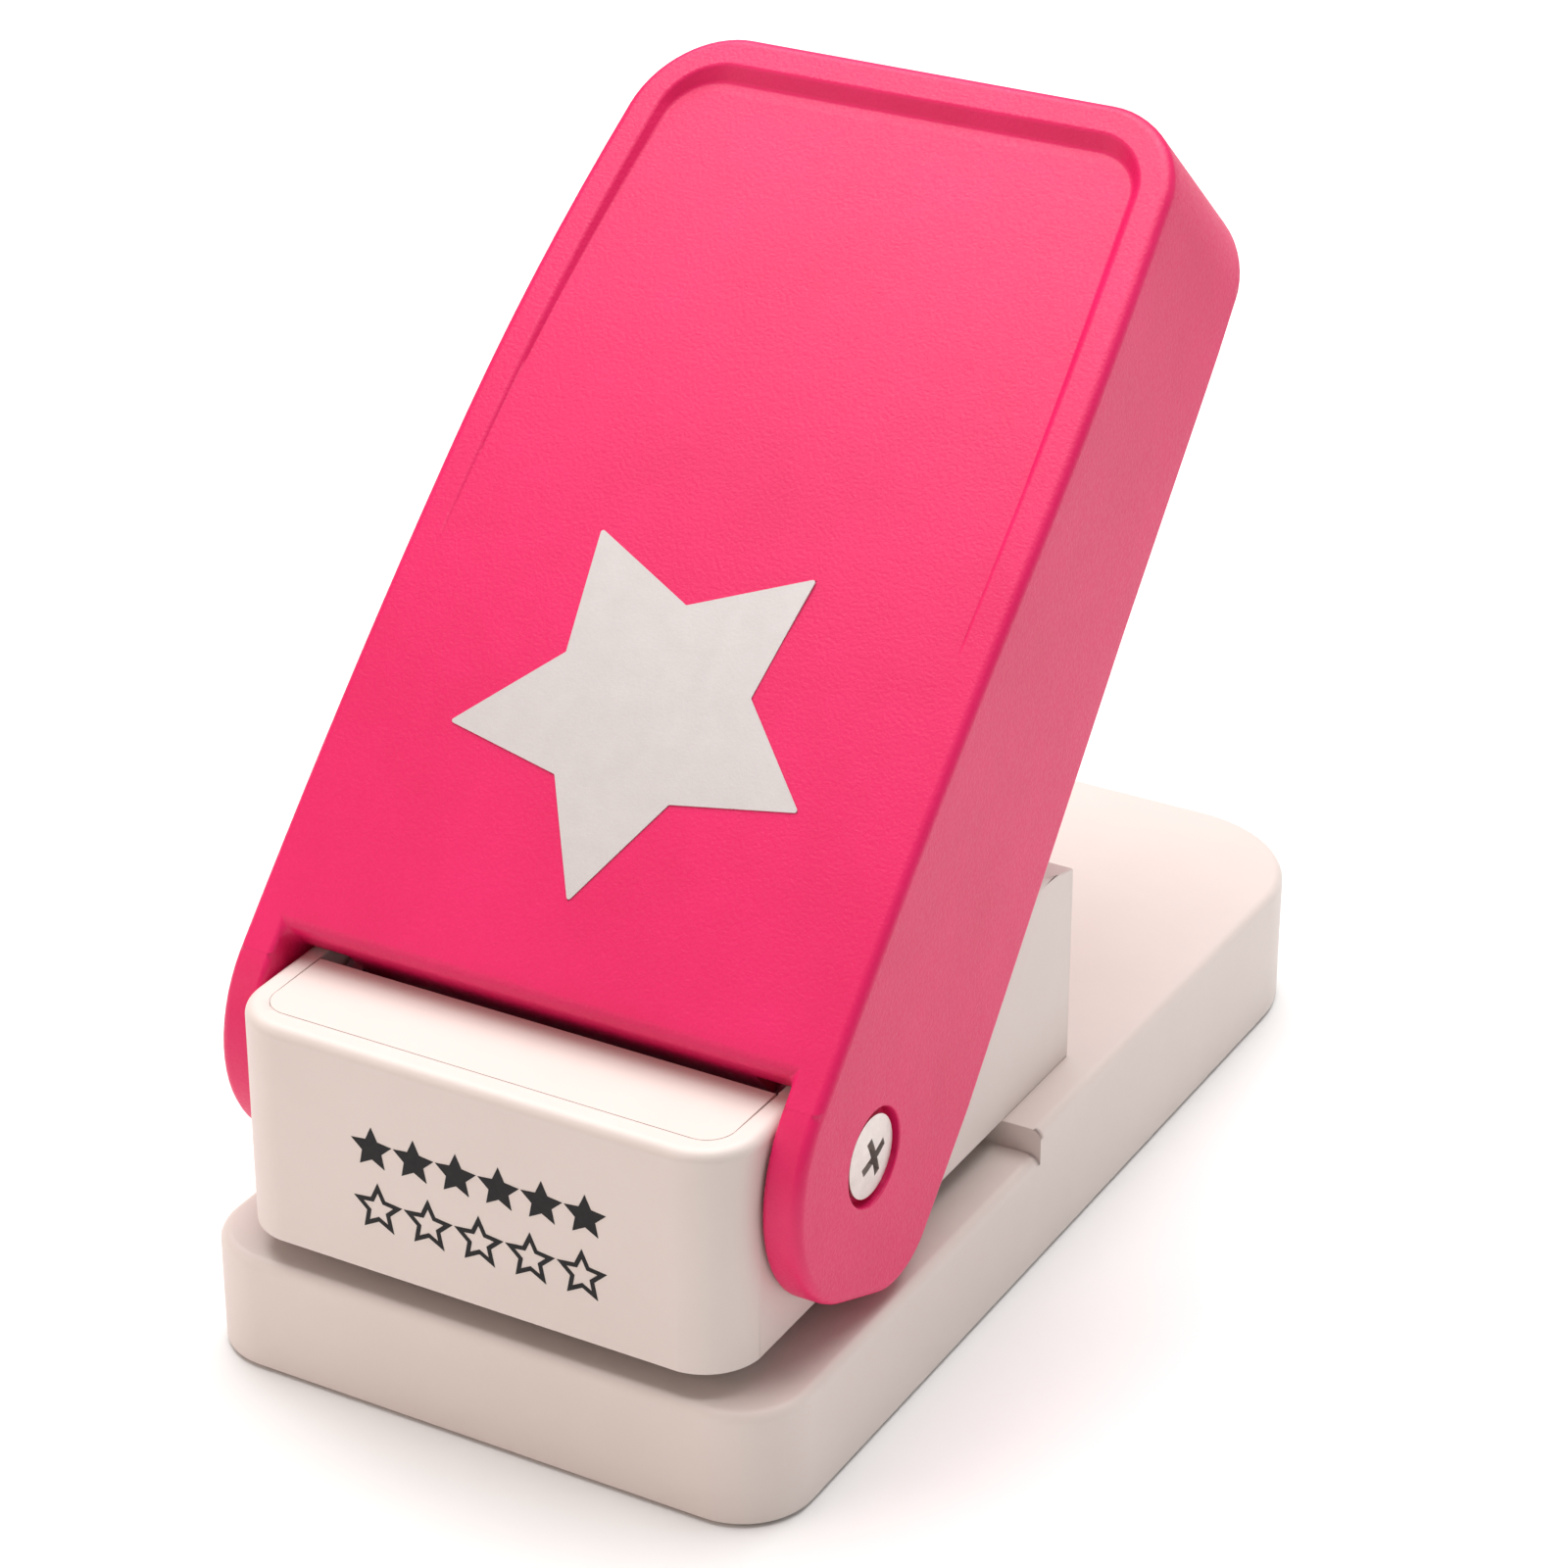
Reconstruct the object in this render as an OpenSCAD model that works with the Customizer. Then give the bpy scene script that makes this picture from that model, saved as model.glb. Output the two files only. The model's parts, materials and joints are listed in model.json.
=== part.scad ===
// Lever paper punch with a star die.
// +Z is up, the front faces -Y, and the origin is the middle of the base's footprint at the
// surface that it stands on. The lever is drawn in its own frame: a runs from the pivot to
// the far end along the lever, b stands square on its top, and x stays the width.

/* [Base] */
// Width of the base
base_w = 66; // [66:1:72]
// Length of the base
base_l = 126.4; // [126.4:0.2:130]
// Height of the slot's floor
floor_h = 12.8; // [12.8:0.1:14]
// Height of the paper slot, which is also the step at the throat
slot_h = 2.95; // [2.8:0.05:3.2]
// Depth of the slot from the front edge to the throat
slot_depth = 54.8; // [54:0.2:56]
// Corner radius at the front of the base
front_r = 7.5; // [6:0.5:9]
// Corner radius at the rear of the base
rear_r = 15; // [14:0.5:17]
// Thickness of the base's walls
wall = 2.4; // [2.2:0.1:2.6]

/* [Housing] */
// Width of the front block, between the lever's ears
house_w = 56.2; // [56:0.1:56.4]
// Width of the rear part, between the lever's side walls
house_rear_w = 57.3; // [57:0.1:57.6]
// Length of the housing
house_l = 69; // [68:0.5:72]
// Height of the housing's top
house_top = 39.8; // [39.6:0.1:41]
// Corner radius at the front of the housing
house_r = 6.2; // [5:0.1:7]

/* [Lever] */
// Width of the lever over its side walls
lever_w = 64.8; // [64.4:0.1:65]
// Length from the pivot to the far end
lever_l = 105.6; // [98:0.2:108]
// Height of the lever's top over the pivot, square to the top
top_rise = 15.7; // [15.4:0.1:16.2]
// Slope of the lever at rest
rest_angle = 43; // [43:1:46]
// How far the lever turns when it is pressed
press_angle = 42; // [36:1:42]
// Thickness of the lever's top and walls
lever_wall = 3; // [2.6:0.1:3]
// Thickness of the lever's ears
ear_t = 4; // [3.8:0.1:4]

/* [Punch] */
// Radius of the star over its tips
star_r = 20.2; // [16:0.2:20.4]
// Radius of the star at its inner corners
star_inner = 10.8; // [8:0.1:11]
// Distance of the die's centre from the front edge
die_reach = 29; // [28.5:0.1:29.5]
// Distance from the pivot to the line where the cam presses
cam_r = 7.2; // [6.8:0.1:7.2]

/* [Pivot] */
// Distance of the pivot from the front edge
pivot_reach = 20.4; // [20:0.1:20.8]
// Height of the pivot
pivot_z = 31.4; // [31.2:0.1:31.8]
// Diameter of the pivot shaft
shaft_d = 6; // [5:0.1:6]

/* [Hidden] */
$fn = 64;
eps = 0.01;
cream = [0.93, 0.87, 0.78];
pink = [0.94, 0.25, 0.45];
steel = [0.62, 0.63, 0.65];
nickel = [0.74, 0.72, 0.68];

// Places along the base
front_y = -base_l / 2;
throat_y = front_y + slot_depth;
die_y = front_y + die_reach;
pivot_y = front_y + pivot_reach;
rear_h = floor_h + slot_h;
edge_round = 1.2;

// Base and what is screwed to it
shell_gap = 0.4;
cover_z = 0.6;
cover_t = 2;
foot_r = 5;
foot_t = 1.6;
foot_at = [[25.2, front_y + 18], [22, base_l / 2 - 22]];
notch_r = 4;
cover_screw_at = [[26.5, front_y + 8.5, floor_h], [25, base_l / 2 - 11, rear_h]];
chip_r = 21.5;
die_t = 3;
die_hx = 22;
ledge_hx = die_hx + 2.8;
ledge_t = 4;
spacer_hx = 18;
chute_hx = 20;
die_front = front_y + 5.5;
stack_rear = throat_y + 9;
frame_screw_at = [6, 14];
frame_screw_y = throat_y + 4.6;
boss_r = 3.2;

// Housing
house_front = front_y + 0.6;
house_rear = house_front + house_l;
wide_from = front_y + 39.5;
slope_l = 7.5;
slope_drop = 1.9;
inner_hx = house_w / 2 - wall;
window_y = [front_y + 13.9, front_y + 48];
cap_hx = 25.5;
cap_front = front_y + 3.4;
cap_t = 1.4;
cap_r = 3;
cap_seat = 2.5;
window_depth = 6;
house_screw_at = [24.4, throat_y + 11];
house_boss_h = 12;
house_screw_head = 1.2;

// Punch, carrier and guide
rest_gap = 0.4;
frame_floor_t = 2.4;
frame_z = rear_h + 0.05;
frame_top = frame_z + frame_floor_t;
punch_z = rear_h + rest_gap;
contact_z = -3.4;
stroke = cam_r * press_angle * PI / 180;
carrier_top = pivot_z + contact_z - 0.06;
carrier_z = frame_top + 0.25 + stroke;
carrier_hx = 22.5;
carrier_y = [die_y - 21, die_y + 16.5];
pin_r = 1.5;
pin_top = 36.4;
pin_at = [18.3, die_y - 16.5, die_y + 12];
sleeve_r = 4.2;
sleeve_top = 34;
spring_seat = 31.5;
spring_r = 2.8;
spring_wire = 0.8;
spring_turns = 6;
cheek_x = 23.2;
cheek_t = 2;
cheek_r = 6.5;
cheek_foot = 8;
bush_r = 4.5;
wear_size = [15, 6, 1.5];
punch_screw_at = [[0, die_y + 7.5], [-4, die_y - 8.3], [4, die_y - 8.3]];

// Lever, in its own frame
arch_r = 600;
arch_mid = 37;
// The ears' round front runs into the arch of the top without a corner
ear_r = arch_r - norm([arch_mid, arch_r - top_rise]);
ear_top_a = -ear_r * arch_mid / arch_r;
heel_at = [-2.3, -9.6];
heel_r = 8.5;
pad_r = 18.6;
mouth_a = 2;
edge_far = -6.1;
edge_near = -17.4;
edge_from = 10.8;
far_r = 10;
rim = 3.6;
recess_from = 42;
recess_depth = 1.2;
star_a = 32.4;
inlay_t = 1.2;
inlay_proud = 0.12;
counterbore_r = 5;
counterbore_t = 1.5;
head_r = 4.2;
web_t = 2.4;
web_hx = 22.8;
web_b = [4.6, 10.5];
cam_hx = 7;
cam_a = [4.7, 10.5];
flange_a = 24;
flange_hx = 12;
flange_b = [6.2, 9.2];
cam_screw_at = [8.5, 18];

function arch(a) = top_rise - pow(a - arch_mid, 2) / (2 * arch_r);
function turned(p, t) = [p[0] * cos(t) - p[1] * sin(t), p[0] * sin(t) + p[1] * cos(t)];
function star_points(r, inner) =
    [for (i = [0 : 9]) (i % 2 == 0 ? r : inner) * [sin(36 * i), -cos(36 * i)]];
// The cam's face is an involute about the pivot, so that a flat pad under it goes down by
// cam_r for each radian that the lever turns. t is the lever's turn in degrees.
function cam_face(t) =
    turned([cam_r, contact_z - cam_r * t * PI / 180], t - rest_angle);

// A slab with upright corner radii and a rounded top edge
module edge_section(w, h, r, both) {
    translate([both ? -w / 2 : 0, 0]) {
        square([w, h - r]);
        translate([both ? r : 0, 0])
            square([both ? w - 2 * r : w - r, h]);
        translate([w - r, h - r]) circle(r);
        if (both)
            translate([r, h - r]) circle(r);
    }
}

module rounded_slab(w, y0, y1, h, rf, rr, edge) {
    translate([0, y1 - rr, 0]) rotate([90, 0, 0])
        linear_extrude(y1 - rr - y0 - rf) edge_section(w, h, edge, true);
    translate([-w / 2 + rf, y0 + rf, 0]) rotate([90, 0, 90])
        linear_extrude(w - 2 * rf) mirror([1, 0]) edge_section(rf, h, edge, false);
    translate([-w / 2 + rr, y1 - rr, 0]) rotate([90, 0, 90])
        linear_extrude(w - 2 * rr) edge_section(rr, h, edge, false);
    for (side = [-1, 1]) {
        translate([side * (w / 2 - rf), y0 + rf, 0])
            rotate_extrude() edge_section(rf, h, edge, false);
        translate([side * (w / 2 - rr), y1 - rr, 0])
            rotate_extrude() edge_section(rr, h, edge, false);
    }
}

// Outline of the base from above, drawn in by g
module base_plan(g) {
    w = base_w / 2 - g;
    rf = front_r - g;
    rr = rear_r - g;
    y0 = front_y + g;
    y1 = base_l / 2 - g;
    translate([-w + rf, y0]) square([2 * (w - rf), rf]);
    translate([-w, y0 + rf]) square([2 * w, y1 - rr - y0 - rf]);
    translate([-w + rr, y1 - rr]) square([2 * (w - rr), rr]);
    for (side = [-1, 1]) {
        translate([side * (w - rf), y0 + rf]) circle(rf);
        translate([side * (w - rr), y1 - rr]) circle(rr);
    }
}

// A flat plate with upright corners of one radius
module plate(x0, x1, y0, y1, z, t, r) {
    translate([0, 0, z]) linear_extrude(t) {
        translate([x0 + r, y0]) square([x1 - x0 - 2 * r, y1 - y0]);
        translate([x0, y0 + r]) square([x1 - x0, y1 - y0 - 2 * r]);
        for (x = [x0 + r, x1 - r], y = [y0 + r, y1 - r])
            translate([x, y]) circle(r);
    }
}

module both_sides() {
    children();
    mirror([1, 0, 0]) children();
}

module rod(r, z0, z1) {
    translate([0, 0, z0]) cylinder(r = r, h = z1 - z0);
}

// A rod along X, from x0 to x1, on the pivot's line
module cross_rod(r, x0, x1) {
    translate([x0, pivot_y, pivot_z]) rotate([0, 90, 0]) cylinder(r = r, h = x1 - x0);
}

module at_each(places) {
    both_sides()
        for (p = places) translate([p[0], p[1], 0]) children();
}

// Self-tapping screw that points up, with its head's underside at z0
module screw_up(z0, length, shank_r = 1.2, big_r = 2.6, big_t = 1.6) {
    rod(big_r, z0 - big_t, z0);
    rod(shank_r, z0 - eps, z0 + length);
}

module base_shell() {
    color(cream) difference() {
        union() {
            difference() {
                union() {
                    rounded_slab(base_w, front_y, base_l / 2, floor_h, front_r, rear_r, edge_round);
                    intersection() {
                        rounded_slab(base_w, front_y, base_l / 2, rear_h, front_r, rear_r, edge_round);
                        translate([-base_w, throat_y, 0]) cube([2 * base_w, base_l, rear_h + 1]);
                    }
                }
                translate([0, 0, -1]) linear_extrude(floor_h - wall + 1) base_plan(wall);
                intersection() {
                    translate([0, 0, -1]) linear_extrude(rear_h - wall + 1) base_plan(wall);
                    translate([-base_w, throat_y + wall, -2]) cube([2 * base_w, base_l, rear_h]);
                }
            }
            translate([-ledge_hx, front_y + wall - eps, floor_h - die_t - ledge_t])
                cube([2 * ledge_hx, stack_rear + 3 - front_y - wall, die_t + ledge_t - wall + eps]);
            both_sides() for (p = cover_screw_at) translate([p[0], p[1], 0])
                rod(boss_r, cover_z + cover_t + 0.05, p[2] - wall + eps);
            at_each([house_screw_at]) rod(boss_r + 0.6, 7, rear_h - wall + eps);
        }
        // The die plate drops in from above and slides back under the raised part
        plate(-die_hx - 0.1, die_hx + 0.1, die_front - 0.1, throat_y, floor_h - die_t, die_t + 1, 1.6);
        plate(-die_hx - 0.1, die_hx + 0.1, throat_y - 4, stack_rear + 0.1, floor_h - die_t, die_t, 1.6);
        plate(-spacer_hx - 0.15, spacer_hx + 0.15, throat_y - 4, stack_rear + 0.1,
              floor_h - 1, slot_h + 2, 1);
        plate(-chute_hx, chute_hx, die_front + 1.5, stack_rear - 1.5, 0, floor_h, 2);
        translate([-base_w, front_y - 1, -1]) cube([2 * base_w, base_l + 2, 1 + shell_gap]);
        at_each(cover_screw_at) rod(1.25, 0, floor_h - wall - 0.8);
        at_each([house_screw_at]) {
            rod(1.6, 0, rear_h + 1);
            rod(3, 0, rear_h - wall - house_screw_head);
        }
    }
}

module bottom_cover() {
    color(cream) difference() {
        translate([0, 0, cover_z]) linear_extrude(cover_t) base_plan(wall + 0.15);
        translate([0, die_y, 0]) rod(chip_r, 0, 4);
        at_each(foot_at) rod(foot_r + 0.05, 0, foot_t);
        at_each(cover_screw_at) {
            rod(1.4, 0, 4);
            rod(2.8, 0, cover_z + 1.2);
        }
        // Finger notch in the rear edge
        translate([0, base_l / 2 - wall, 0]) rod(notch_r, 0, 4);
    }
}

module rubber_feet() {
    color([0.55, 0.55, 0.56]) at_each(foot_at) rod(foot_r, 0, foot_t - 0.02);
}

module cover_screws() {
    color(steel) at_each(cover_screw_at) translate([0, 0, cover_z + 1.15])
        screw_up(0, 7, 1.2, 2.6, 1.1);
}

module star(r, inner, z, t) {
    translate([0, 0, z]) linear_extrude(t) polygon(star_points(r, inner));
}

module die_plate() {
    color(steel) difference() {
        plate(-die_hx, die_hx, die_front, stack_rear, floor_h - die_t + 0.02, die_t - 0.02, 1.5);
        translate([0, die_y, 0]) star(star_r + 0.12, star_inner + 0.08, 0, 20);
        both_sides() for (x = frame_screw_at) translate([x, frame_screw_y, 0]) rod(1.6, 0, 20);
    }
}

module throat_spacer() {
    color(steel) difference() {
        plate(-spacer_hx, spacer_hx, throat_y + 0.05, stack_rear,
              floor_h + 0.02, frame_z - floor_h - 0.04, 0.8);
        both_sides() for (x = frame_screw_at) translate([x, frame_screw_y, 0]) rod(1.6, 0, 20);
    }
}

module guide_frame() {
    color(steel) difference() {
        union() {
            plate(-cheek_x - cheek_t, cheek_x + cheek_t, house_front + wall + 0.3, throat_y - 0.8,
                  frame_z, frame_floor_t, house_r - wall + 0.2);
            plate(-spacer_hx, spacer_hx, throat_y - 6, stack_rear, frame_z, frame_floor_t, 1);
            both_sides() {
                translate([cheek_x, pivot_y - cheek_foot, frame_z])
                    cube([cheek_t, 2 * cheek_foot, frame_top - frame_z + 3]);
                translate([cheek_x, pivot_y - cheek_r, frame_z])
                    cube([cheek_t, 2 * cheek_r, pivot_z - frame_z]);
                cross_rod(cheek_r, cheek_x, cheek_x + cheek_t);
            }
        }
        both_sides() cross_rod(bush_r + 0.01, cheek_x - 1, cheek_x + cheek_t + 1);
        translate([0, die_y, 0]) star(star_r + 0.12, star_inner + 0.08, 0, 30);
        both_sides() for (x = frame_screw_at) translate([x, frame_screw_y, 0]) rod(1.25, 0, 30);
        both_sides() for (y = [pin_at[1], pin_at[2]])
            translate([pin_at[0], y, 0]) rod(pin_r + 0.01, 0, 30);
    }
}

module frame_screws() {
    color(nickel) both_sides() for (x = frame_screw_at)
        translate([x, frame_screw_y, floor_h - die_t]) screw_up(0, 8, 1.2, 2.6, 2);
}

// Outline of the housing from above, grown by g
module housing_plan(g) {
    w = house_w / 2 + g;
    r = house_r + g;
    translate([-w + r, house_front - g]) square([2 * (w - r), r]);
    translate([-w, house_front - g + r]) square([2 * w, house_rear - house_front - r]);
    for (side = [-1, 1])
        translate([side * (w - r), house_front - g + r]) circle(r);
    wr = house_rear_w / 2 + g;
    translate([-wr, wide_from]) square([2 * wr, house_rear - wide_from + g]);
}

module housing_shell() {
    color(cream) difference() {
        union() {
            translate([0, 0, rear_h]) linear_extrude(house_top - edge_round - rear_h) housing_plan(0);
            translate([0, 0, house_top - edge_round - eps]) linear_extrude(edge_round + eps)
                housing_plan(-edge_round);
            // Rounded edge between the wall and the top
            for (side = [-1, 1])
                translate([side * (house_w / 2 - house_r), house_front + house_r, rear_h])
                    rotate_extrude() edge_section(house_r, house_top - rear_h, edge_round, false);
            translate([-house_w / 2 + house_r, house_front + house_r, rear_h]) rotate([90, 0, 90])
                linear_extrude(house_w - 2 * house_r) mirror([1, 0])
                    edge_section(house_r, house_top - rear_h, edge_round, false);
            translate([0, wide_from + 1, rear_h]) rotate([90, 0, 0])
                linear_extrude(wide_from + 1 - house_front - house_r)
                    edge_section(house_w, house_top - rear_h, edge_round, true);
            translate([0, house_rear, rear_h]) rotate([90, 0, 0])
                linear_extrude(house_rear - wide_from)
                    edge_section(house_rear_w, house_top - rear_h, edge_round, true);
        }
        difference() {
            plate(-inner_hx, inner_hx, house_front + wall, house_rear - wall,
                  rear_h - 1, house_top - wall - rear_h + 1, house_r - wall);
            at_each([house_screw_at]) rod(boss_r, rear_h, rear_h + house_boss_h);
        }
        at_each([house_screw_at]) rod(1.25, 0, rear_h + house_boss_h - 2);
        // Rear of the top slopes down
        translate([-base_w, house_rear - slope_l, house_top])
            rotate([-atan(slope_drop / slope_l), 0, 0]) cube([2 * base_w, 20, 10]);
        // Window that the cam works through, and the seat and opening of the top cap
        plate(-inner_hx, inner_hx, window_y[0] - 0.1, window_y[1],
              house_top - window_depth, 10, 0.5);
        difference() {
            plate(-cap_hx - 0.1, cap_hx + 0.1, cap_front - 0.1, window_y[0] + 4,
                  house_top - cap_t, 10, cap_r);
            translate([-base_w, window_y[0] + 0.1, 0]) cube([2 * base_w, 20, 60]);
        }
        plate(-cap_hx + cap_seat, cap_hx - cap_seat, cap_front + cap_seat, window_y[0] + 1,
              house_top - window_depth, 10, 2);
        both_sides() cross_rod(bush_r + 0.01, 20, 40);
    }
}

module housing_top_cap() {
    color(cream) intersection() {
        plate(-cap_hx, cap_hx, cap_front, window_y[0] + 4,
              house_top - cap_t + 0.02, cap_t - 0.02, cap_r);
        translate([-base_w, -base_l, 0]) cube([2 * base_w, base_l + window_y[0], 60]);
    }
}

module housing_screws() {
    color(steel) at_each([house_screw_at]) translate([0, 0, rear_h - wall - house_screw_head])
        screw_up(0, house_boss_h - 0.5, 1.2, 2.8, 2);
}

module guide_pins() {
    color(steel) both_sides() for (y = [pin_at[1], pin_at[2]])
        translate([pin_at[0], y, 0]) rod(pin_r, frame_z, pin_top);
}

module pivot_bush() {
    color([0.30, 0.31, 0.33]) difference() {
        cross_rod(bush_r, cheek_x - 0.3, house_w / 2);
        cross_rod(shaft_d / 2 + 0.05, 0, 40);
    }
}

module pivot_bush_left() { mirror([1, 0, 0]) pivot_bush(); }
module pivot_bush_right() { pivot_bush(); }

// Places children that are drawn in the lever's frame, with x as the width
module lever_frame() {
    translate([0, pivot_y, pivot_z]) rotate([rest_angle, 0, 0]) children();
}

// Extrudes an outline drawn in a and b from x0 to x1
module across(x0, x1) {
    translate([x0, 0, 0]) rotate([90, 0, 90]) linear_extrude(x1 - x0) children();
}

module ear_outline() {
    hull() {
        circle(ear_r);
        translate(heel_at) circle(heel_r);
    }
}

module lever_side() {
    ear_outline();
    polygon(concat(
        [[0, -ear_r], [heel_at[0], heel_at[1] - heel_r], [edge_from, edge_near]],
        [[lever_l - 3, edge_far], [lever_l - 0.8, edge_far + 1], [lever_l, edge_far + 3]],
        [for (i = [0 : 20]) let (a = lever_l - i * (lever_l - ear_top_a) / 20) [a, arch(a)]],
        [[0, 0]]));
}

module lever_plan(hx, far, r) {
    translate([-hx, -40]) square([2 * hx, far + 40 - r]);
    translate([-hx + r, 0]) square([2 * hx - 2 * r, far]);
    for (side = [-1, 1])
        translate([side * (hx - r), far - r]) circle(r);
}

module lever_shell() {
    hx = lever_w / 2;
    inner = hx - lever_wall;
    ear_in = hx - ear_t;
    color(pink) lever_frame() difference() {
        union() {
            difference() {
                intersection() {
                    across(-hx, hx) lever_side();
                    translate([0, 0, -30]) linear_extrude(60) lever_plan(hx, lever_l, far_r);
                }
                intersection() {
                    across(-inner, inner) polygon([[-30, -40], [lever_l + 10, -40],
                        for (i = [0 : 10]) let (a = lever_l + 10 - i * (lever_l + 10 - mouth_a) / 10)
                            [a, arch(a) - lever_wall], [mouth_a, 30], [-30, 30]]);
                    translate([0, 0, -40]) linear_extrude(80)
                        lever_plan(inner, lever_l - lever_wall, far_r - lever_wall);
                }
            }
            both_sides() {
                intersection() {
                    across(ear_in, inner + eps) lever_side();
                    across(ear_in, inner + eps) circle(pad_r);
                }
                // Front web, which steps in over the housing's walls
                across(0, ear_in + eps) translate([mouth_a, web_b[1]])
                    square([web_t, arch(mouth_a) - web_b[1] - 0.5]);
                across(0, web_hx) translate([mouth_a, web_b[0]])
                    square([web_t, arch(mouth_a) - web_b[0] - 0.5]);
                translate([cam_screw_at[0], cam_screw_at[1], 0])
                    rod(3.2, flange_b[1] + 0.02, arch(cam_screw_at[1]) - lever_wall + 0.3);
            }
        }
        both_sides() {
            across(0, 50) circle(shaft_d / 2 + 0.02);
            across(hx - counterbore_t, 50) circle(counterbore_r);
            translate([cam_screw_at[0], cam_screw_at[1], 0])
                rod(1.05, 0, arch(cam_screw_at[1]) - 2.4);
        }
        // Shallow recess that fades out towards the pivot
        intersection() {
            across(-hx, hx) polygon(concat(
                [for (i = [0 : 12]) let (a = recess_from + i * (lever_l - recess_from) / 12)
                    [a, arch(a) - recess_depth * i / 12]],
                [[lever_l, 40], [recess_from, 40]]));
            linear_extrude(60) lever_plan(hx - rim, lever_l - rim, far_r - rim);
        }
        star_slab(0.06, -inlay_t, 5);
    }
}

// A star-shaped slice that follows the lever's top, between two heights from it
module star_slab(gap, low, high) {
    intersection() {
        translate([0, star_a, 0]) star(star_r + gap * 2, star_inner + gap, 0, 40);
        across(-30, 30) polygon(concat(
            [for (i = [0 : 12]) let (a = star_a - 24 + 4 * i) [a, arch(a) + low]],
            [for (i = [12 : -1 : 0]) let (a = star_a - 24 + 4 * i) [a, arch(a) + high]]));
    }
}

module lever_star_inlay() {
    color([0.80, 0.79, 0.77]) lever_frame() star_slab(0, 0.02 - inlay_t, inlay_proud);
}

module pivot_shaft() {
    end_x = lever_w / 2 - counterbore_t - 0.3;
    color(steel) difference() {
        cross_rod(shaft_d / 2, -end_x, end_x);
        both_sides() cross_rod(1.6, end_x - 9, end_x + 1);
    }
}

module pivot_screws() {
    seat_x = lever_w / 2 - counterbore_t;
    color(nickel) both_sides() difference() {
        union() {
            cross_rod(1.55, seat_x - 8.5, seat_x + 0.2);
            cross_rod(head_r, seat_x + 0.02, seat_x + 1.45);
        }
        for (turn = [0, 90])
            translate([seat_x + 0.6, pivot_y, pivot_z]) rotate([turn + 20, 0, 0])
                translate([0, -2.2, -0.4]) cube([3, 4.4, 0.8]);
    }
}

module press_cam() {
    color([0.90, 0.89, 0.86]) lever_frame() difference() {
        union() {
            across(-cam_hx, cam_hx) polygon(concat(
                [for (t = [-5 : press_angle + 2]) cam_face(t)],
                [[cam_a[1], -6], [cam_a[1], flange_b[1]], [cam_a[0], flange_b[1]], [cam_a[0], 0]],
                [turned([cam_r - 1, contact_z + 0.4], -rest_angle)]));
            across(-flange_hx, flange_hx) polygon([
                [cam_a[0], flange_b[0]], [flange_a, flange_b[0]],
                [flange_a, flange_b[1]], [cam_a[0], flange_b[1]]]);
        }
        both_sides() translate([cam_screw_at[0], cam_screw_at[1], 0]) rod(1.6, 0, 20);
    }
}

module cam_screws() {
    color(steel) lever_frame() both_sides()
        translate([cam_screw_at[0], cam_screw_at[1], 0])
            screw_up(flange_b[0] - 0.02, 6, 1, 2.4, 1.4);
}

module star_punch() {
    color(steel) difference() {
        translate([0, die_y, 0]) star(star_r, star_inner, punch_z, carrier_z - punch_z - 0.02);
        for (p = punch_screw_at) translate([p[0], p[1], 0]) rod(1.05, carrier_z - 5, 40);
    }
}

module punch_carrier() {
    color([0.35, 0.36, 0.38]) difference() {
        union() {
            plate(-carrier_hx, carrier_hx, carrier_y[0], carrier_y[1],
                  carrier_z, carrier_top - carrier_z, 4);
            both_sides() for (y = [pin_at[1], pin_at[2]])
                translate([pin_at[0], y, 0]) rod(sleeve_r, carrier_z, sleeve_top);
        }
        both_sides() for (y = [pin_at[1], pin_at[2]]) translate([pin_at[0], y, 0]) {
            rod(spring_r + spring_wire / 2 + 0.4, 0, spring_seat);
            rod(pin_r + 0.06, 0, 50);
        }
        translate([-wear_size[0] / 2 - 0.01, pivot_y + cam_r - wear_size[1] / 2 - 0.01,
                   carrier_top - wear_size[2]])
            cube([wear_size[0] + 0.02, wear_size[1] + 0.02, 5]);
        for (p = punch_screw_at) translate([p[0], p[1], 0]) {
            rod(1.3, 0, 50);
            rod(2.6, carrier_top - 1.4, 50);
        }
    }
}

module wear_plate() {
    color(nickel)
        translate([-wear_size[0] / 2, pivot_y + cam_r - wear_size[1] / 2,
                   carrier_top - wear_size[2] + 0.01])
            cube([wear_size[0], wear_size[1], wear_size[2] - 0.01]);
}

module punch_screws() {
    color(steel) for (p = punch_screw_at) translate([p[0], p[1], 0]) {
        rod(2.5, carrier_top - 1.38, carrier_top - 0.1);
        rod(1, carrier_z - 4.6, carrier_top - 1.3);
    }
}

// Coil spring that stands on the guide frame's floor, as one wire swept along a helix
module return_spring(x, y) {
    z0 = frame_top + 0.05 + spring_wire / 2;
    rise = spring_seat - 0.05 - spring_wire / 2 - z0;
    steps = spring_turns * 12;
    sides = 6;
    rings = [for (i = [0 : steps]) let (t = 360 * spring_turns * i / steps)
        [for (k = [0 : sides - 1]) let (u = 360 * k / sides,
             r = spring_r + spring_wire / 2 * cos(u))
            [r * cos(t), r * sin(t), z0 + rise * i / steps + spring_wire / 2 * sin(u)]]];
    points = [for (ring = rings) for (p = ring) p];
    walls = [for (i = [0 : steps - 1]) for (k = [0 : sides - 1])
        let (a = i * sides + k, b = i * sides + (k + 1) % sides)
            [a + sides, b + sides, b, a]];
    ends = [[for (k = [0 : sides - 1]) k], [for (k = [sides - 1 : -1 : 0]) steps * sides + k]];
    color([0.7, 0.7, 0.72]) translate([x, y, 0]) polyhedron(points, concat(walls, ends));
}

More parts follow.
